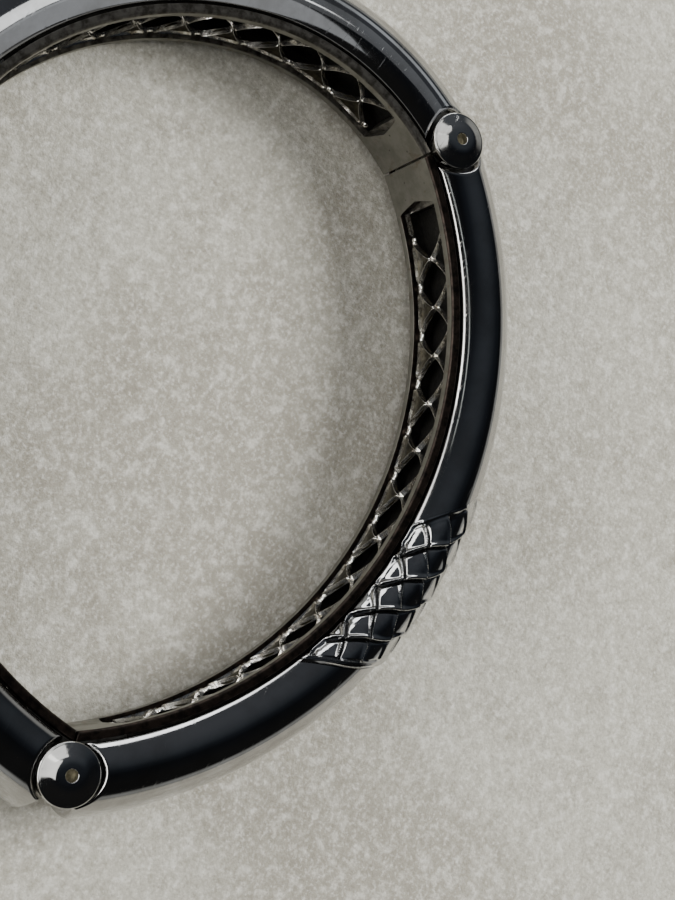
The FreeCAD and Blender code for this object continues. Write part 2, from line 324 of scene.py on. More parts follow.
# Painted shade for the braid's deep grooves.
PAINTED_GROOVE_SHADE = (0.03, 0.028, 0.022)
# Painted shade for the liners' backs and edges, and a lighter copy of it.
EDGE_SHADE_COLOURS = ((0.045, 0.034, 0.028), (0.012, 0.010, 0.009))
LIGHTER_EDGE_SHADE_COLOURS = ((0.20, 0.19, 0.17), (0.07, 0.065, 0.055))
KNUCKLE_COLOURS = ((0.36, 0.35, 0.32), (0.12, 0.11, 0.10))
PIN_COLOURS = ((0.30, 0.27, 0.17), (0.10, 0.085, 0.05))
MAGNET_COLOURS = ((0.55, 0.55, 0.56), (0.35, 0.35, 0.36))
STONE_COLOURS = ((0.50, 0.485, 0.42), (0.37, 0.35, 0.295))
BLOTCH_COLOUR = (0.32, 0.30, 0.25)
PALE_GRAIN = (0.76, 0.75, 0.69)
DARK_GRAIN = (0.28, 0.26, 0.21)
PALE_SPECK = (0.80, 0.79, 0.75)
DARK_SPECK = (0.25, 0.23, 0.185)


class Nodes:
    """A material's node tree with short ways to add and link nodes."""

    def __init__(self, name):
        self.material = bpy.data.materials.new(name)
        self.material.use_nodes = True
        self.tree = self.material.node_tree
        self.shader = self.tree.nodes["Principled BSDF"]
        self.coordinates = self.tree.nodes.new("ShaderNodeTexCoord").outputs["Object"]

    def add(self, kind, **values):
        node = self.tree.nodes.new(kind)
        for key, value in values.items():
            setattr(node, key, value)
        return node

    def link(self, a, b):
        self.tree.links.new(a, b)

    def mapped(self, scale, turn=(0, 0, 0)):
        node = self.add("ShaderNodeMapping")
        node.inputs["Scale"].default_value = scale
        node.inputs["Rotation"].default_value = [math.radians(t) for t in turn]
        self.link(self.coordinates, node.inputs["Vector"])
        return node.outputs["Vector"]

    def noise(self, scale, detail=3.0, roughness=0.55, vector=None, distortion=0.0):
        node = self.add("ShaderNodeTexNoise")
        node.inputs["Scale"].default_value = scale
        node.inputs["Detail"].default_value = detail
        node.inputs["Roughness"].default_value = roughness
        node.inputs["Distortion"].default_value = distortion
        self.link(vector or self.coordinates, node.inputs["Vector"])
        return node.outputs["Fac"]

    def spots(self, scale, vector=None):
        node = self.add("ShaderNodeTexVoronoi")
        node.inputs["Scale"].default_value = scale
        self.link(vector or self.coordinates, node.inputs["Vector"])
        return node.outputs["Distance"]

    def remap(self, value, low, high, to_low, to_high, smooth=False):
        node = self.add("ShaderNodeMapRange")
        node.interpolation_type = "SMOOTHSTEP" if smooth else "LINEAR"
        for socket, number in zip(RANGE_SOCKETS, (low, high, to_low, to_high)):
            node.inputs[socket].default_value = number
        self.link(value, node.inputs["Value"])
        return node.outputs["Result"]

    def math(self, operation, a, b):
        node = self.add("ShaderNodeMath", operation=operation)
        for socket, value in zip(node.inputs, (a, b)):
            if isinstance(value, (int, float)):
                socket.default_value = value
            else:
                self.link(value, socket)
        return node.outputs[0]

    def mix(self, share, a, b):
        node = self.add("ShaderNodeMix", data_type="RGBA")
        self.link(share, node.inputs[0])
        for socket, value in zip((node.inputs[6], node.inputs[7]), (a, b)):
            if isinstance(value, tuple):
                socket.default_value = (*value, 1.0)
            else:
                self.link(value, socket)
        return node.outputs[2]

    def blend(self, value, low, high, a, b):
        """Colour a where value is below low, and colour b where it is above high."""
        return self.mix(self.remap(value, low, high, 0.0, 1.0, True), a, b)

    def attribute(self, name):
        return self.add("ShaderNodeAttribute", attribute_name=name).outputs["Fac"]

    def bump(self, height, distance, strength=1.0, below=None):
        node = self.add("ShaderNodeBump")
        node.inputs["Distance"].default_value = distance
        node.inputs["Strength"].default_value = strength
        self.link(height, node.inputs["Height"])
        if below is not None:
            self.link(below, node.inputs["Normal"])
        return node.outputs["Normal"]

    def finish(self, colour, roughness, metallic=1.0, normal=None):
        self.shader.inputs["Metallic"].default_value = metallic
        self.link(colour, self.shader.inputs["Base Color"])
        self.link(roughness, self.shader.inputs["Roughness"])
        if normal is not None:
            self.link(normal, self.shader.inputs["Normal"])
        return self.material


def scratches(nodes):
    """Fine wear lines in several directions, 1 on a line and 0 off it."""
    total = None
    for number, turn in enumerate(SCRATCH_TURNS):
        stretched = nodes.mapped((260 + 40 * number, 5200 - 500 * number, 600), turn)
        line = nodes.remap(nodes.noise(1.0, 2.0, 0.5, stretched, 0.4), 0.66, 0.72, 0.0, 1.0)
        turned = nodes.mapped((1, 1, 1), (turn[1], turn[0], turn[2]))
        patch = nodes.remap(nodes.noise(260.0, 1.0, 0.5, turned), 0.48, 0.62, 0.0, 1.0)
        both = nodes.math("MULTIPLY", line, patch)
        total = both if total is None else nodes.math("MAXIMUM", total, both)
    return total


def polished_silver(name, colours, low, high):
    """Bright silver with a soft haze and wear lines; low and high bound its roughness."""
    nodes = Nodes(name)
    haze = nodes.noise(230.0, 4.0, 0.6)
    lines = scratches(nodes)
    colour = nodes.blend(haze, 0.35, 0.7, *colours)
    roughness = nodes.math("ADD", nodes.remap(haze, 0.35, 0.75, low, high),
                           nodes.math("MULTIPLY", lines, 0.12))
    wave = nodes.bump(nodes.noise(190.0, 2.0, 0.5), 0.00004, 0.6)
    fine = nodes.bump(lines, 0.000004, 0.5, wave)
    return nodes.finish(colour, roughness, normal=fine)


def satin_silver(name):
    """Dull silver with brown stains and a few dark pits."""
    nodes = Nodes(name)
    cloud = nodes.noise(420.0, 5.0, 0.65)
    turned = nodes.mapped((1, 1, 0.6), (0, 30, 0))
    stain = nodes.remap(nodes.noise(900.0, 3.0, 0.6, turned), 0.58, 0.7, 0.0, 1.0, True)
    pits = nodes.remap(nodes.spots(1500.0), 0.10, 0.2, 1.0, 0.0, True)
    sparse = nodes.remap(nodes.noise(700.0, 1.0, 0.5), 0.56, 0.66, 0.0, 1.0)
    holes = nodes.math("MULTIPLY", pits, sparse)
    base = nodes.blend(cloud, 0.35, 0.65, *SATIN_COLOURS)
    base = nodes.mix(nodes.math("MULTIPLY", stain, 0.55), base, SATIN_STAIN)
    base = nodes.mix(nodes.math("MULTIPLY", holes, 0.9), base, SATIN_PIT)
    grain = nodes.bump(nodes.noise(9000.0, 2.0, 0.6), 0.000012, 0.5)
    normal = nodes.bump(holes, 0.00006, -0.8, grain)
    return nodes.finish(base, nodes.remap(cloud, 0.3, 0.7, 0.42, 0.6), 0.85, normal)


def clouded(name, colours, cloud, spread, rough_spread, roughness, metallic, grain, bump):
    """Metal whose colour and roughness follow one noise, with a grain over it. cloud and
    grain are a noise's scale, detail and roughness; spread and rough_spread are the values
    of the cloud between which the colour and the roughness change."""
    nodes = Nodes(name)
    fog = nodes.noise(*cloud)
    colour = nodes.blend(fog, *spread, *colours)
    normal = nodes.bump(nodes.noise(*grain), *bump)
    return nodes.finish(colour, nodes.remap(fog, *rough_spread, *roughness), metallic, normal)


def ridge_silver(name):
    return clouded(name, RIDGE_COLOURS, (1500.0, 4.0, 0.6), (0.45, 0.68), (0.4, 0.7), (0.15, 0.30),
                   1.0, (2500.0, 3.0, 0.6), (0.00003, 0.6))


def olive_infill(name):
    return clouded(name, OLIVE_COLOURS, (1300.0, 5.0, 0.7), (0.35, 0.7), (0.3, 0.7), (0.38, 0.62),
                   0.7, (4200.0, 4.0, 0.7), (0.00006, 0.7))


def blackened(name):
    return clouded(name, BLACK_COLOURS, (900.0, 4.0, 0.7), (0.35, 0.7), (0.3, 0.7), (0.55, 0.8),
                   0.3, (5200.0, 4.0, 0.7), (0.00005, 0.6))


def braid_silver(name):
    """Polished silver with painted shade: darker where the mesh says that a groove is deep."""
    nodes = Nodes(name)
    haze = nodes.noise(600.0, 4.0, 0.6)
    groove = nodes.attribute("groove")
    base = nodes.blend(haze, 0.35, 0.7, *BRAID_COLOURS)
    # Painted shade: the colour darkens in the deep grooves.
    colour = nodes.mix(groove, base, PAINTED_GROOVE_SHADE)
    roughness = nodes.math("ADD", nodes.remap(haze, 0.35, 0.75, 0.05, 0.13),
                           nodes.math("MULTIPLY", groove, 0.35))
    normal = nodes.bump(nodes.noise(1300.0, 3.0, 0.6), 0.00002, 0.5)
    return nodes.finish(colour, roughness, 1.0, normal)


def dull_metal(name, colours, roughness=(0.3, 0.5), metallic=0.95):
    return clouded(name, colours, (1100.0, 5.0, 0.65), (0.38, 0.66), (0.3, 0.7), roughness,
                   metallic, (5000.0, 3.0, 0.6), (0.00002, 0.5))


def stone(name):
    """Pale stone: broad tones, then blotches, grains and specks laid over them."""
    nodes = Nodes(name)
    broad = nodes.noise(26.0, 3.0, 0.6)
    blotch = nodes.noise(190.0, 4.0, 0.7)
    grain = nodes.noise(900.0, 3.0, 0.6)
    fine = nodes.noise(2600.0, 3.0, 0.7)
    colour = nodes.blend(broad, 0.38, 0.62, *STONE_COLOURS)
    for share, tone in (((blotch, 0.48, 0.72, 0.0, 0.5, True), BLOTCH_COLOUR),
                        ((grain, 0.48, 0.72, 0.0, 0.6, True), PALE_GRAIN),
                        ((grain, 0.28, 0.46, 0.45, 0.0, True), DARK_GRAIN),
                        ((fine, 0.52, 0.7, 0.0, 0.6), PALE_SPECK),
                        ((fine, 0.34, 0.46, 0.4, 0.0), DARK_SPECK)):
        colour = nodes.mix(nodes.remap(*share), colour, tone)
    normal = nodes.bump(nodes.noise(1500.0, 4.0, 0.75), 0.00022, 0.9)
    return nodes.finish(colour, nodes.remap(grain, 0.3, 0.7, 0.8, 0.4), 0.0, normal)


# --- Section of the shell --------------------------------------------------------
def oval(phi, grow=0.0):
    """Off and z of the shell's oval; phi 0 is outermost and 90 degrees on top."""
    return SHELL_CENTRE + (OVAL_HALF + grow) * np.cos(phi), (SHELL_HALF + grow) * np.sin(phi)


def section_run():
    """Lengths round the shell's outside, from its upper inner edge to its lower one, and
    the oval's angle at each."""
    edge = math.acos((LINER_BACK - SHELL_CENTRE) / OVAL_HALF)
    phi = np.linspace(edge, -edge, FINE_STEPS)
    off, z = oval(phi)
    return np.concatenate(([0], np.cumsum(np.hypot(np.diff(off), np.diff(z))))), phi


def section_places(w):
    """Angle, off, z and outward normal at lengths w round the shell's outside."""
    phi = np.interp(w, *section_run())
    off, z = oval(phi)
    normal = np.stack((np.cos(phi) / OVAL_HALF, np.sin(phi) / SHELL_HALF), axis=-1)
    normal /= np.linalg.norm(normal, axis=1)[:, None]
    return phi, off, z, normal


def section_steps():
    """Lengths round the shell's outside, evenly spaced and closer by its rounded edges."""
    total = section_run()[0][-1]
    w = np.linspace(0, total, LOOP_POINTS)
    near = np.linspace(0, 1, 2 * EDGE_STEPS + 1)[1:-1] * w[EDGE_STEPS]
    return np.unique(np.concatenate((w, near, total - near)))


def inner_loop(phi):
    """The cavity's outline at the same angles: an oval joined to a straight slot."""
    off, z = oval(phi, -SHELL_WALL)
    off = np.maximum(off, LINER_BACK)
    slot = (off < SHELL_CENTRE) & (np.abs(z) < SLOT_HALF)
    return off, np.where(slot, np.where(phi > 0, SLOT_HALF, -SLOT_HALF), z)


def rounding(distance, radius):
    """How deep a quarter-round lies below the surface, this far from the edge."""
    t = np.clip(distance / radius, 0, 1)
    return radius * (1 - np.sqrt(1 - (1 - t) ** 2))


# --- Where a segment ends --------------------------------------------------------
SEARCH_BEFORE = 2.5           # the search starts this far before the segment's end
SEARCH_REACH = 9.0
SEARCH_STEP = 0.01


def past_end(joint, side_sign, x, y, z):
    """True for places that are cut away at one end of a segment."""
    dx = x - joint.point[0]
    dy = y - joint.point[1]
    along = side_sign * (dx * joint.along[0] + dy * joint.along[1])
    out = dx * joint.out[0] + dy * joint.out[1]
    lean = np.maximum(out - PIVOT_OFF, 0) * math.tan(math.radians(OPENING_LEAN))
    gone = along > -SEAM_GAP / 2 - lean
    reach = np.hypot(x - joint.pivot[0], y - joint.pivot[1])
    by_dome = np.abs(z) > DOME_SEAT - (DOME_ROOM - DOME_RADIUS)
    return gone | (reach < np.where(by_dome, DOME_ROOM, BARREL_ROOM))


def in_escape(x, y, z):
    """True on the closure knuckle's way out of the closing segment."""
    gone = np.full(np.shape(x), False)
    by_dome = np.abs(z) > DOME_SEAT - (DOME_ROOM - DOME_RADIUS)
    room = np.where(by_dome, DOME_ROOM, BARREL_ROOM)
    for joint in (closing_joint, side_joint):
        start = closure.pivot - joint.pivot
        dx = x - joint.pivot[0]
        dy = y - joint.pivot[1]
        angle = np.degrees(np.arctan2(dy, dx)) - math.degrees(math.atan2(start[1], start[0]))
        angle = -((angle + 180) % 360 - 180)
        reach = np.abs(np.hypot(dx, dy) - np.hypot(*start))
        gone |= (angle > 0) & (angle < ESCAPE_TURN) & (reach < room)
    return gone


def end_stations(segment, start_joint, end_joint, off, z):
    """For each place on a section, where the segment's material starts and ends."""
    run = np.arange(-SEARCH_BEFORE, SEARCH_REACH, SEARCH_STEP)[:, None]
    found = []
    for joint, side_sign in ((start_joint, -1), (end_joint, 1)):
        s = run if side_sign < 0 else segment.length - run
        x, y = segment.place(s, off[None, :])
        gone = past_end(joint, side_sign, x, y, z[None, :])
        if joint is closure and side_sign < 0:
            gone |= in_escape(x, y, z[None, :])
        last = len(run) - 1 - np.argmax(gone[::-1], axis=0)
        inside = run[np.minimum(last + 1, len(run) - 1), 0]
        found.append(inside if side_sign < 0 else segment.length - inside)
    return found


# --- Shells ----------------------------------------------------------------------
END_STEPS = (0.0, 0.015, 0.04, 0.08, 0.13, 0.19, 0.26, 0.33, 0.45, 0.7, 1.0)
STEADY_FROM = 6.5             # rows are straight across from here on
STEADY_STEP = 0.45
FILL_ROWS = 7                 # rows between an end and the steady ones
FAR_FROM_END = 9.0
BRAID_LEAD = 12.0             # length over which rows turn to the braid's slant, before it
BRAID_TRAIL = 22.0            # and after it
CUT_ROOM = 0.1                # no steady row lies this close to the braid's cut
HAIR = 1e-3


def braid_shift(w):
    """How far the braid's slant moves places along the segment."""
    return BRAID_SLANT * np.minimum(w, w[-1] - w)


def shell_rows(segment, low, high, shift, braided):
    """Stations of every row of the shell's mesh, one per place on the section, with each
    row's distance from the nearer end and 1 where it lies in the braid's cut."""
    steady = np.linspace(STEADY_FROM, segment.length - STEADY_FROM,
                         int((segment.length - 2 * STEADY_FROM) / STEADY_STEP))
    sunk = np.zeros(len(steady), bool)
    ease = np.zeros(len(steady))
    if braided:
        cut_low = BRAID_START - FIXED_GAP
        cut_high = BRAID_START + BRAID_LENGTH + FIXED_GAP
        clear = (np.abs(steady - cut_low) > CUT_ROOM) & (np.abs(steady - cut_high) > CUT_ROOM)
        lips = [cut_low - HAIR, cut_low + HAIR, cut_high - HAIR, cut_high + HAIR]
        steady = np.sort(np.concatenate((steady[clear], lips)))
        sunk = (steady > cut_low) & (steady < cut_high)
        rise = np.clip((steady - (BRAID_START - BRAID_LEAD)) / BRAID_LEAD, 0, 1)
        fall = np.clip((BRAID_START + BRAID_LENGTH + BRAID_TRAIL - steady) / BRAID_TRAIL, 0, 1)
        ease = smooth(np.minimum(rise, fall))
    body = [np.full_like(low, s) + e * shift for s, e in zip(steady, ease)]
    marks = np.linspace(0, 1, FILL_ROWS + 2)[1:-1]
    start_fill = [(low + END_STEPS[-1]) * (1 - m) + body[0] * m for m in marks]
    end_fill = [body[-1] * (1 - m) + (high - END_STEPS[-1]) * m for m in marks]
    rows = ([low + step for step in END_STEPS] + start_fill + body + end_fill
            + [high - step for step in reversed(END_STEPS)])
    between = [FAR_FROM_END] * (2 * len(marks) + len(body))
    edge = list(END_STEPS) + between + list(reversed(END_STEPS))
    plain = np.zeros(len(END_STEPS) + len(marks))
    return np.array(rows), np.array(edge), np.concatenate((plain, sunk, plain))


def make_shell(segment, start_joint, end_joint, braided, material):
    """A segment's outer shell: its outside and its cavity, joined round their rims."""
    w = section_steps()
    phi, off, z, normal = section_places(w)
    in_off, in_z = inner_loop(phi)
    low, high = end_stations(segment, start_joint, end_joint, off, z)
    in_low, in_high = end_stations(segment, start_joint, end_joint, in_off, in_z)
    in_low = np.maximum(in_low, low)
    in_high = np.minimum(in_high, high)
    rows, edge, sunk = shell_rows(segment, low, high, braid_shift(w), braided)
    in_rows = shell_rows(segment, in_low, in_high, braid_shift(w), braided)[0]
    side_round = rounding(np.minimum(w, w[-1] - w), EDGE_ROUND)
    depth = np.maximum(rounding(edge, LIP_ROUND)[:, None], side_round[None, :])
    depth = np.maximum(depth, sunk[:, None] * (BRAID_SUNK + FIXED_GAP))
    outer_off = np.maximum(off[None, :] - normal[None, :, 0] * depth, LINER_BACK)
    outer_z = z[None, :] - normal[None, :, 1] * depth
    builder = Builder()
    outside = builder.grid(segment.points(rows, outer_off, outer_z))
    inside = builder.grid(segment.points(in_rows, in_off[None, :], in_z[None, :]), flip=True)
    builder.close_rims(outside, inside)
    piece = builder.make("polished_" + segment.name + "_shell", [material], 50.0)
    ride(piece, segment.name + "_body", "polished_silver", segment.name + "_shell")


# --- Braid -----------------------------------------------------------------------
BRAID_PITCH = 3.05            # between edges of the first family, along the segment
CROSS_PITCH = 3.9             # between edges of the second family, along the segment
CROSS_SLOPE = 1.5
BRAID_STEP = 0.08
GROOVE_DEPTH = 0.33
BRAID_WAVER = (0.04, 1.9)     # unevenness of the edges: share of a pitch, radians per mm
CROSS_WAVER = (0.03, 1.7)
CROSS_PHASE = 0.3
LEAF_FOOT = -0.22             # height of a leaf's lowest corner
LEAF_RISE = 0.40
LEAF_SWELL = 0.08
LEAF_TILT = (0.55, 0.45)      # shares of the rise along and across
RIM_RISE = 0.16
TUCK_WIDTH = 0.28
EDGE_WIDTH = 0.10
BORDER_WIDTH = 0.82           # plain beaded border at the braid's start
RUN_OUT = 1.1                 # length over which the braid fades at its end


def bead(distance, centre, width):
    """A rounded ridge, 1 at its centre."""
    return np.exp(-((distance - centre) / width) ** 2)


def braid_height(s, from_edge):
    """Height of overlapping leaves over the oval, with 0 to 1 for how deep a groove is.
    Each leaf rises to a beaded rim on two sides and tucks under its neighbours on the others."""
    start = s - BRAID_START
    crossing = s + (BRAID_SLANT + CROSS_SLOPE) * from_edge - BRAID_START
    p = start / BRAID_PITCH + BRAID_WAVER[0] * np.sin(from_edge * BRAID_WAVER[1])
    q = crossing / CROSS_PITCH + CROSS_PHASE + CROSS_WAVER[0] * np.sin(s * CROSS_WAVER[1])
    fp = p - np.floor(p)
    fq = q - np.floor(q)
    below = fp * BRAID_PITCH / math.hypot(1, BRAID_SLANT)
    beside = (1 - fq) * CROSS_PITCH / math.hypot(1, CROSS_SLOPE)
    above = (1 - fp) * BRAID_PITCH / math.hypot(1, BRAID_SLANT)
    behind = fq * CROSS_PITCH / math.hypot(1, CROSS_SLOPE)
    tilt = (1 - fp) * LEAF_TILT[0] + fq * LEAF_TILT[1]
    rim = np.maximum(bead(below, 0.2, 0.15), bead(beside, 0.17, 0.13))
    swell = LEAF_SWELL * np.sin(np.pi * fp) * np.sin(np.pi * fq)
    height = LEAF_FOOT + LEAF_RISE * tilt ** 1.2 + RIM_RISE * rim + swell
    edge = np.clip(np.minimum(below, beside) / EDGE_WIDTH, 0, 1)
    tuck = np.clip(np.minimum(above, behind) / TUCK_WIDTH, 0, 1) ** 0.6
    height = height * edge - GROOVE_DEPTH * (1 - edge)
    height = height * tuck - GROOVE_DEPTH * (1 - tuck)
    height = np.clip(height, -GROOVE_DEPTH, BRAID_PROUD)
    groove = np.clip((-0.16 - height) / 0.14, 0, 1)
    border = 0.34 * bead(start, 0.25, 0.15) + 0.22 * bead(start, 0.72, 0.12) - 0.05
    keep = np.clip((start - BORDER_WIDTH) / 0.2, 0, 1)
    height = height * keep + border * (1 - keep)
    left = smooth(np.clip((BRAID_START + BRAID_LENGTH - s) / RUN_OUT, 0, 1))
    inward = np.clip((from_edge - 0.3) / 0.35, 0, 1)
    return height * left * inward, groove * keep * left * inward


def make_braid(material):
    """The carved braid, a sleeve let into the front shell."""
    total = section_run()[0][-1]
    w = np.linspace(0, total, int(total / BRAID_STEP))
    _, off, z, normal = section_places(w)
    from_edge = np.minimum(w, total - w)
    rows = np.linspace(BRAID_START, BRAID_START + BRAID_LENGTH, int(BRAID_LENGTH / BRAID_STEP))[:, None]
    height, groove = braid_height(rows, from_edge[None, :])
    lift = height - rounding(from_edge, EDGE_ROUND)[None, :]
    s = rows + braid_shift(w)[None, :]
    builder = Builder()
    sheets = []
    for level, flip in ((lift, False), (-BRAID_SUNK, True)):
        sheet_off = np.maximum(off[None, :] + normal[None, :, 0] * level, LINER_BACK)
        sheet_z = np.broadcast_to(z[None, :] + normal[None, :, 1] * level, s.shape)
        sheets.append(builder.grid(front.points(s, sheet_off, sheet_z), flip=flip))
    builder.close_rims(*sheets)
    piece = builder.make("carved_braid", [material], 60.0)
    # The groove attribute sets the braid's painted shade.
    shade = piece.data.attributes.new("groove", "FLOAT", "POINT")
    values = np.concatenate((groove.ravel(), np.ones(groove.size)))
    shade.data.foreach_set("value", values.astype(np.float32))
    ride(piece, "front_body", "braided_silver", "front_braid")


# --- Liner and openwork ----------------------------------------------------------
def make_liner(segment, start_joint, end_joint, material, painted_edge_shade):
    """The inner wall: two rails and two end plates round a window with peaked ends. Painted
    shade darkens its back and its edges."""
    rail = np.array((WINDOW_HALF, WINDOW_HALF + 0.12, 3.2, 3.5, LINER_HALF - LINER_CHAMFER, LINER_HALF))
    middle = np.linspace(-WINDOW_HALF, WINDOW_HALF, 15)
    z = np.concatenate((-rail[::-1], middle[1:-1], rail))
    peak = WINDOW_PEAK * np.clip(1 - np.abs(z) / WINDOW_HALF, 0, 1) ** 0.8
    window_low = END_PLATE - peak
    window_high = segment.length - END_PLATE + peak
    window_marks = np.linspace(0, 1, int((segment.length - 2 * END_PLATE) / 0.6))
    plate_marks = np.linspace(0, 1, 10)
    sheets = []
    for off in (0.0, LINER_THICKNESS):
        offs = np.full(len(z), off)
        low, high = end_stations(segment, start_joint, end_joint, offs, np.zeros(len(z)))
        s = [low * (1 - m) + window_low * m for m in plate_marks]
        s += [window_low * (1 - m) + window_high * m for m in window_marks[1:-1]]
        s += [window_high * (1 - m) + high * m for m in plate_marks]
        at_edge = np.abs(np.abs(z) - LINER_HALF) < TINY
        chamfer = np.where(at_edge & (off == 0.0), LINER_CHAMFER, 0.0)
        sheets.append(segment.points(np.array(s), (off + chamfer)[None, :], z[None, :]))
    rows, columns = sheets[0].shape[:2]
    in_window = (z[:-1] > -WINDOW_HALF - TINY) & (z[1:] < WINDOW_HALF + TINY)
    present = np.full((rows - 1, columns - 1), True)
    present[len(plate_marks) - 1:rows - len(plate_marks), in_window] = False
    builder = Builder()
    near, back = [builder.add(sheet) + np.arange(rows * columns).reshape(rows, columns)
                  for sheet in sheets]
    # The outermost strips, the back and the cut edges take the painted shade.
    for i, j in np.argwhere(present):
        ring = ((i, j), (i + 1, j), (i + 1, j + 1), (i, j + 1))
        builder.face([near[c] for c in ring], SECOND if j in (0, columns - 2) else 0)
        builder.face([back[c] for c in reversed(ring)], SECOND)
        beyond = ((i, j - 1), (i + 1, j), (i, j + 1), (i - 1, j))
        for k, (a, b) in enumerate(beyond):
            inside = 0 <= a < rows - 1 and 0 <= b < columns - 1
            if not (inside and present[a, b]):
                c, d = ring[k], ring[(k + 1) % 4]
                builder.face((near[d], near[c], back[c], back[d]), SECOND)
    piece = builder.make("satin_" + segment.name + "_liner", [material, painted_edge_shade], 30.0)
    bevel = piece.modifiers.new("edges", "BEVEL")
    bevel.width = LINER_BEVEL * MM
    bevel.segments = 2
    bevel.limit_method = "ANGLE"
    bevel.angle_limit = math.radians(40)
    ride(piece, segment.name + "_body", "satin_silver", segment.name + "_liner")


RIDGE_SECTION = ((-1.0, 0.0), (-0.62, 0.38), (-0.30, 0.80), (-0.12, 0.97),
                 (0.12, 0.97), (0.30, 0.80), (0.62, 0.38), (1.0, 0.0))


def ridge(builder, segment, path, width, height):
    """A bar with a sharp crest along path, a list of (s, z), its ends drawn in."""
    path = np.asarray(path, float)
    tangent = np.gradient(path, axis=0)
    tangent /= np.linalg.norm(tangent, axis=1)[:, None]
    across, lift = np.array(RIDGE_SECTION).T
    t = np.linspace(0, 1, len(path))
    taper = np.clip(np.minimum(t, 1 - t) / 0.06, 0.35, 1)[:, None]
    s = path[:, :1] - tangent[:, 1:] * across * width / 2 * taper
    z = path[:, 1:] + tangent[:, :1] * across * width / 2 * taper
    off = RIDGE_FOOT - lift * height * taper
    index = builder.grid(segment.points(s, off, z), wrap=True)
    builder.face(index[0][::-1])
    builder.face(index[-1])


def knot(builder, segment, s, z, foot, size):
    """A small bead where bars meet."""
    a = np.linspace(0, 2 * np.pi, 12, endpoint=False)
    rings = 6
    rows = []
    for i in range(rings + 1):
        lift = math.pi / 2 * i / rings
        reach = max(math.cos(lift), 0.02) * size
        rows.append(segment.points(s + reach * np.cos(a), foot - math.sin(lift) * size * 0.95,
                                   z + reach * 1.25 * np.sin(a)))
    index = builder.grid(np.array(rows), wrap=True)
    builder.face(index[0])
    builder.face(index[-1][::-1])


def infill(builder, segment, corners):
    """A thin dished plate behind three bars, subdivided so that it follows the curve."""
    a, b, c = [np.array(corner, float) for corner in corners]
    steps = 6
    index = {}
    for layer, off in enumerate((INFILL_FRONT, INFILL_BACK)):
        for i in range(steps + 1):
            for j in range(steps + 1 - i):
                u, v = i / steps, j / steps
                p = a + (b - a) * u + (c - a) * v
                dish = INFILL_DISH * min(u, v, 1 - u - v) * 3 if layer == 0 else 0.0
                index[layer, i, j] = builder.add(segment.points(p[0], off + dish, p[1]))
    for layer in (0, 1):
        for i in range(steps):
            for j in range(steps - i):
                right, above = index[layer, i + 1, j], index[layer, i, j + 1]
                builder.face((index[layer, i, j], right, above), SECOND)
                if j < steps - i - 1:
                    builder.face((right, index[layer, i + 1, j + 1], above), SECOND)
    rim = ([(i, 0) for i in range(steps)] + [(steps - j, j) for j in range(steps)]
           + [(0, steps - j) for j in range(steps)])
    for p, q in zip(rim, rim[1:] + rim[:1]):
        builder.face((index[(0, *p)], index[(0, *q)], index[(1, *q)], index[(1, *p)]), SECOND)


def make_lattice(segment, bright, olive):
    """Curved crossing bars with beads at their feet and dull triangles between them."""
    half = WINDOW_HALF - FIXED_GAP
    low = END_PLATE + FIRST_FOOT
    last = segment.length - END_PLATE - LAST_FOOT
    room = last - low
    cells = round(room / LATTICE_PITCH)
    pitch = room / cells
    rail_z = half - RAIL_INSET
    builder = Builder()
    t = np.linspace(0, 1, 15)
    for i in range(cells):
        s0 = low + i * pitch
        middle = s0 + pitch / 2
        infill(builder, segment, ((s0 + 0.1, -half), (s0 + pitch - 0.1, -half), (middle, -0.05)))
        for up in (-1, 1):
            rail = [(s0 + RAIL_SHORT + (pitch - 2 * RAIL_SHORT) * u, up * rail_z) for u in t]
            ridge(builder, segment, rail, RAIL_WIDTH, RAIL_HEIGHT)
            for foot, way in ((s0, 1), (s0 + pitch, -1)):
                reach = pitch / 2 - BAR_START
                bar = [(foot + way * (BAR_START + reach * u + BAR_BOW * math.sin(math.pi * u)),
                        up * (rail_z - (rail_z - 0.02) * u)) for u in t]
                ridge(builder, segment, bar, BAR_WIDTH, BAR_HEIGHT)
        knot(builder, segment, middle, 0.0, RIDGE_FOOT, CROSSING_RADIUS)
    for i in range(cells + 1):
        for up in (-1, 1):
            knot(builder, segment, low + i * pitch, up * (rail_z - 0.10), RIDGE_FOOT - 0.06, KNOT_RADIUS)
    for up in (-1, 1):
        rail = [(last + 0.4 + (LAST_FOOT - 0.1) * u, up * rail_z) for u in t]
        ridge(builder, segment, rail, RAIL_WIDTH, RAIL_HEIGHT)
    piece = builder.make("ridged_" + segment.name + "_lattice", [bright, olive], 65.0)
    ride(piece, segment.name + "_body", "lattice_silver", segment.name + "_lattice")


# --- Domes and pins --------------------------------------------------------------
def revolve(name, joint, profile, materials, slots):
    """A closed profile of (radius, z) turned round a knuckle's axis, with a material number
    for each step of the profile."""
    angle = np.linspace(0, 2 * np.pi, DOME_TURNS, endpoint=False)
    centre = joint.pivot - SHIFT
    rows = []
    for radius, z in profile:
        x = centre[0] + radius * np.cos(angle)
        y = centre[1] + radius * np.sin(angle)
        rows.append(np.stack((x, y, np.full(DOME_TURNS, z)), axis=-1) * MM)
    builder = Builder()
    index = builder.grid(np.array(rows), wrap=True, slot=slots)
    builder.face(index[0])
    builder.face(index[-1][::-1])
    return builder.make(name, materials, 35.0)


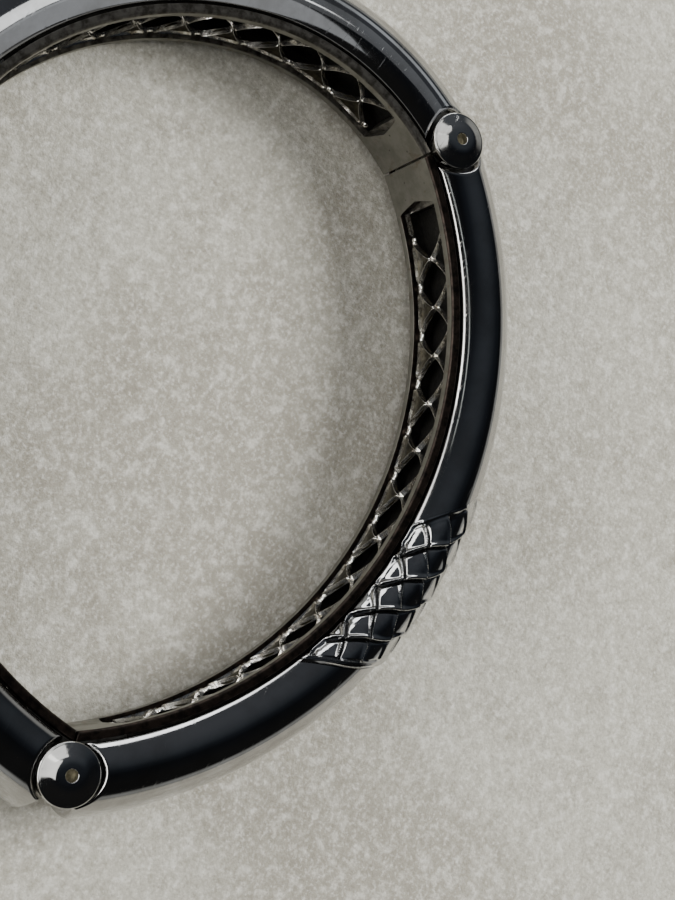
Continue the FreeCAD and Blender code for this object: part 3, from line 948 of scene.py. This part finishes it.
def dome_profile(up):
    """From the pinhole's floor up over the head, down the skirt and in to the collar."""
    hole_floor = HALF_HEIGHT - PINHOLE_DEPTH
    brow_z = HALF_HEIGHT - PINHOLE_BROW
    profile = [(0.03, hole_floor - 0.02), (PINHOLE_RADIUS * 0.8, hole_floor),
               (PINHOLE_RADIUS, hole_floor + 0.05), (PINHOLE_RADIUS, brow_z)]
    for k in range(1, 6):
        a = math.pi / 2 * k / 5
        profile.append((PINHOLE_RADIUS + PINHOLE_BROW * (1 - math.cos(a)),
                        brow_z + PINHOLE_BROW * math.sin(a)))
    radius, z = profile[-1]
    steps = 28
    step = (DOME_RADIUS - DOME_CORNER - radius) / steps
    for _ in range(steps):
        share = np.clip((radius + step / 2 - DOME_FLAT) / DOME_BEND, 0, 1)
        slope = math.radians(TOP_SLOPE + (DOME_SLOPE - TOP_SLOPE) * smooth(share))
        radius += step
        z -= step * math.tan(slope)
        profile.append((radius, z))
    for k in range(1, 9):
        a = slope + (math.pi / 2 - slope) * k / 8
        profile.append((radius + DOME_CORNER * (math.sin(a) - math.sin(slope)) / (1 - math.sin(slope)),
                        z - DOME_CORNER * 0.9 * (math.cos(slope) - math.cos(a))))
    wide = profile[-1][0]
    profile += [(wide, DOME_SEAT + 0.12), (wide - 0.04, DOME_SEAT + 0.03), (wide - 0.12, DOME_SEAT),
                (COLLAR_RADIUS + 0.02, DOME_SEAT), (COLLAR_RADIUS, DOME_SEAT - 0.03),
                (COLLAR_RADIUS, COLLAR_FOOT + 0.02), (COLLAR_RADIUS / 2, COLLAR_FOOT), (0.05, COLLAR_FOOT)]
    return [(radius, z * up) for radius, z in profile]


def make_domes(joint, name, body, metal, pin_metal):
    """A knuckle's two heads; the pinhole's floor shows the pin."""
    for up, word in ((1, "upper"), (-1, "lower")):
        profile = dome_profile(up)
        slots = [SECOND, SECOND] + [0] * (len(profile) - 3)
        piece = revolve(word + "_head_" + name, joint, profile, [metal, pin_metal], slots)
        ride(piece, body, "polished_silver", "%s_%s_dome" % (name, word))


# --- The bangle ------------------------------------------------------------------
silver = polished_silver("polished silver", SILVER_COLOURS, 0.05, 0.13)
head_silver = polished_silver("polished head silver", HEAD_COLOURS, 0.07, 0.17)
satin = satin_silver("satin silver")
bright_ridge = ridge_silver("lattice silver")
olive = olive_infill("oxidised infill")
# Painted shade for the liners' backs and edges; the side liner's copy is lighter.
painted_edge_shade = dull_metal("dark patina", EDGE_SHADE_COLOURS, metallic=0.9)
lighter_edge_shade = dull_metal("worn liner edge", LIGHTER_EDGE_SHADE_COLOURS, metallic=0.9)
black = blackened("blackened silver")
braid_metal = braid_silver("braided silver")
knuckle_metal = dull_metal("knuckle silver", KNUCKLE_COLOURS)
pin_metal = dull_metal("pin brass", PIN_COLOURS, (0.35, 0.6), 0.6)
magnet_metal = dull_metal("magnet plating", MAGNET_COLOURS, (0.15, 0.3))

ENDS = ((front, closing_joint, side_joint), (side, side_joint, closure),
        (closing, closure, closing_joint))
for segment, start_joint, end_joint in ENDS:
    make_shell(segment, start_joint, end_joint, segment is front, silver)
    # The side liner gets the lighter painted shade.
    make_liner(segment, start_joint, end_joint, satin, lighter_edge_shade if segment is side else painted_edge_shade)
    make_lattice(segment, bright_ridge, olive)
make_braid(braid_metal)
for joint, name, body in ((side_joint, "side_hinge", "front_body"),
                          (closing_joint, "closing_hinge", "front_body"),
                          (closure, "closure", "side_body")):
    make_domes(joint, name, body, head_silver, pin_metal)

CAD_METALS = (("_tray", black), ("_clevis", knuckle_metal), ("_tongue", knuckle_metal),
              ("_barrel", knuckle_metal), ("_cup", knuckle_metal), ("_pin", pin_metal),
              ("_magnet", magnet_metal))
for name, node in frame["nodes"].items():
    for ending, metal in CAD_METALS:
        if name.endswith(ending):
            for number in range(len(node.data.materials)):
                node.data.materials[number] = metal


# --- Floor, light and camera -----------------------------------------------------
FLOOR_HALF = 1500.0

# A lamp's name, its azimuth and elevation, its distance, width and height in metres, its
# watts and colour, and whether the bangle mirrors it.
LAMPS = (("key", -44, 42, 0.9, 0.42, 0.42, 12.4, (1.0, 0.99, 0.96), False),
         ("overhead", 150, 74, 0.9, 0.75, 0.75, 2.8, (1.0, 0.99, 0.96), False),
         ("window left", 118, 28, 0.9, 0.72, 0.26, 3.8, (1.0, 0.98, 0.94), True),
         ("window middle", 76, 25, 0.9, 0.72, 0.20, 1.6, (1.0, 0.99, 0.97), True),
         ("window right", 28, 16, 1.0, 0.85, 0.17, 1.8, (0.98, 0.99, 1.0), True),
         ("window left strip", 112, 48, 0.9, 0.7, 0.03, 0.07, (0.95, 1.0, 0.98), True))

# A card's name, the pieces that reflect it, the point it is placed from, its azimuth and
# elevation, its distance, width and height in millimetres, its brightness and colour.
SIDE = ("polished_side_shell",)
HEADS = ("upper_head_side_hinge", "upper_head_closing_hinge", "upper_head_closure")
LATTICES = ("ridged_front_lattice", "ridged_closing_lattice")
CARDS = (("pale card", SIDE, (16, 23, 5), -92, 38, 120, 140, 104, 0.46, (0.93, 0.96, 1.0)),
         ("bright card", SIDE, (13.5, 25, 5), -25, 66, 60, 36, 36, 2.1, (0.97, 0.99, 1.0)),
         ("upper card", SIDE, (32, -1, 5), -36, 67, 110, 66, 66, 0.13, (0.93, 0.96, 1.0)),
         ("edge card", SIDE, (32, -1, 5), -18, 26, 110, 70, 24, 0.50, (0.90, 0.95, 1.0)),
         ("head card", HEADS, (0, 0, 0), 104, 69, 400, 300, 170, 1.5, (1.0, 0.99, 0.96)),
         ("head card above", HEADS, (0, 0, 0), 48, 53, 400, 270, 130, 1.3, (1.0, 0.99, 0.96)),
         ("lattice card", LATTICES, (0, 0, 0), 125, 42, 400, 150, 60, 22.0, (1.0, 0.99, 0.95)))

LIGHTER_CORNER = (20, 38)     # azimuth and elevation of the room's lighter corner
ROOM_COLOURS = ((0.0, (0.012, 0.012, 0.012)), (0.45, (0.008, 0.009, 0.011)),
                (0.62, (0.016, 0.019, 0.024)), (0.76, (0.040, 0.046, 0.054)),
                (1.0, (0.075, 0.080, 0.090)))
PALE_BAND = (0.12, 0.24, 1.0, 0.0)   # height over which the pale wall gives way to the dark room
PALE_WALL = (0.34, 0.34, 0.325)

CAMERA_PLACE = (-42.04, 18.59, 122.72)    # from the front segment's centre
CAMERA_RIGHT = (0.475, -0.749, 0.462)
CAMERA_BACK = (-0.327, 0.337, 0.883)
CAMERA_LENS = 64.8
SENSOR_HEIGHT = 36.0


def make_floor():
    """Stone that the lower heads stand on."""
    builder = Builder()
    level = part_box("side_hinge_lower_dome")[0].z / MM
    corners = ((-1, -1), (1, -1), (1, 1), (-1, 1))
    builder.add(np.array([(x * FLOOR_HALF, y * FLOOR_HALF, level) for x, y in corners]) * MM)
    builder.face((0, 1, 2, 3))
    builder.make("floor", [stone("pale stone")])


def on_sphere(azimuth, elevation, distance):
    a, e = math.radians(azimuth), math.radians(elevation)
    return np.array((math.cos(e) * math.cos(a), math.cos(e) * math.sin(a), math.sin(e))) * distance


def area_light(name, azimuth, elevation, distance, width, height, watts, colour):
    """A soft rectangular light that faces the bangle; sizes in metres."""
    light = bpy.data.lights.new(name, "AREA")
    light.shape = "RECTANGLE"
    light.size = width
    light.size_y = height
    light.energy = watts
    light.color = colour
    lamp = bpy.data.objects.new(name, light)
    bpy.context.scene.collection.objects.link(lamp)
    place = on_sphere(azimuth, elevation, distance)
    lamp.location = place
    lamp.rotation_euler = look_rotation(-place)
    return lamp


def reflector(name, pieces, seen_from, azimuth, elevation, distance, width, height,
              brightness, colour):
    """A card that only the named pieces reflect; sizes and places in millimetres."""
    area = width * height * MM * MM
    card = area_light(name, azimuth, elevation, distance * MM, width * MM, height * MM,
                      brightness * math.pi * area, colour)
    card.location = np.array(card.location) + np.array(seen_from) * MM
    card.visible_diffuse = False
    receivers = bpy.data.collections.new(name + " receivers")
    for piece in pieces:
        receivers.objects.link(bpy.data.objects[piece])
    card.light_linking.receiver_collection = receivers


def look_rotation(towards):
    return Vector(towards).to_track_quat("-Z", "Y").to_euler()


def make_world():
    """A dark room with a pale wall low down, a little lighter towards one high corner."""
    world = bpy.data.worlds.new("dim room")
    world.use_nodes = True
    nodes = world.node_tree.nodes
    links = world.node_tree.links
    coordinates = nodes.new("ShaderNodeTexCoord")
    towards = nodes.new("ShaderNodeVectorMath")
    towards.operation = "DOT_PRODUCT"
    towards.inputs[1].default_value = on_sphere(*LIGHTER_CORNER, 1.0)
    ramp = nodes.new("ShaderNodeValToRGB")
    stops = ramp.color_ramp.elements
    while len(stops) < len(ROOM_COLOURS):
        stops.new(0.5)
    for stop, (position, colour) in zip(stops, ROOM_COLOURS):
        stop.position = position
        stop.color = (*colour, 1)
    links.new(coordinates.outputs["Generated"], towards.inputs[0])
    links.new(towards.outputs["Value"], ramp.inputs["Fac"])
    height = nodes.new("ShaderNodeSeparateXYZ")
    links.new(coordinates.outputs["Generated"], height.inputs[0])
    low = nodes.new("ShaderNodeMapRange")
    low.interpolation_type = "SMOOTHSTEP"
    for socket, value in zip(RANGE_SOCKETS, PALE_BAND):
        low.inputs[socket].default_value = value
    links.new(height.outputs["Z"], low.inputs["Value"])
    blend = nodes.new("ShaderNodeMix")
    blend.data_type = "RGBA"
    colours = [socket for socket in blend.inputs if socket.type == "RGBA"]
    links.new(low.outputs["Result"], blend.inputs["Factor"])
    links.new(ramp.outputs["Color"], colours[0])
    colours[1].default_value = (*PALE_WALL, 1)
    result = [socket for socket in blend.outputs if socket.type == "RGBA"][0]
    links.new(result, nodes["Background"].inputs["Color"])
    bpy.context.scene.world = world


def make_camera():
    place = np.append(-SHIFT, 0.0) + np.array(CAMERA_PLACE)
    camera = bpy.data.objects.new("camera", bpy.data.cameras.new("camera"))
    bpy.context.scene.collection.objects.link(camera)
    right = Vector(CAMERA_RIGHT).normalized()
    back = Vector(CAMERA_BACK).normalized()
    up = back.cross(right).normalized()
    right = up.cross(back)
    turn = Matrix((right, up, back)).transposed().to_4x4()
    camera.matrix_world = Matrix.Translation(Vector(place * MM)) @ turn
    camera.data.sensor_fit = "VERTICAL"
    camera.data.sensor_height = SENSOR_HEIGHT
    camera.data.lens = CAMERA_LENS
    camera.data.clip_start = 0.005
    bpy.context.scene.camera = camera


make_floor()
make_world()
for *lamp, mirrored in LAMPS:
    area_light(*lamp).visible_glossy = mirrored
for card in CARDS:
    reflector(*card)
make_camera()
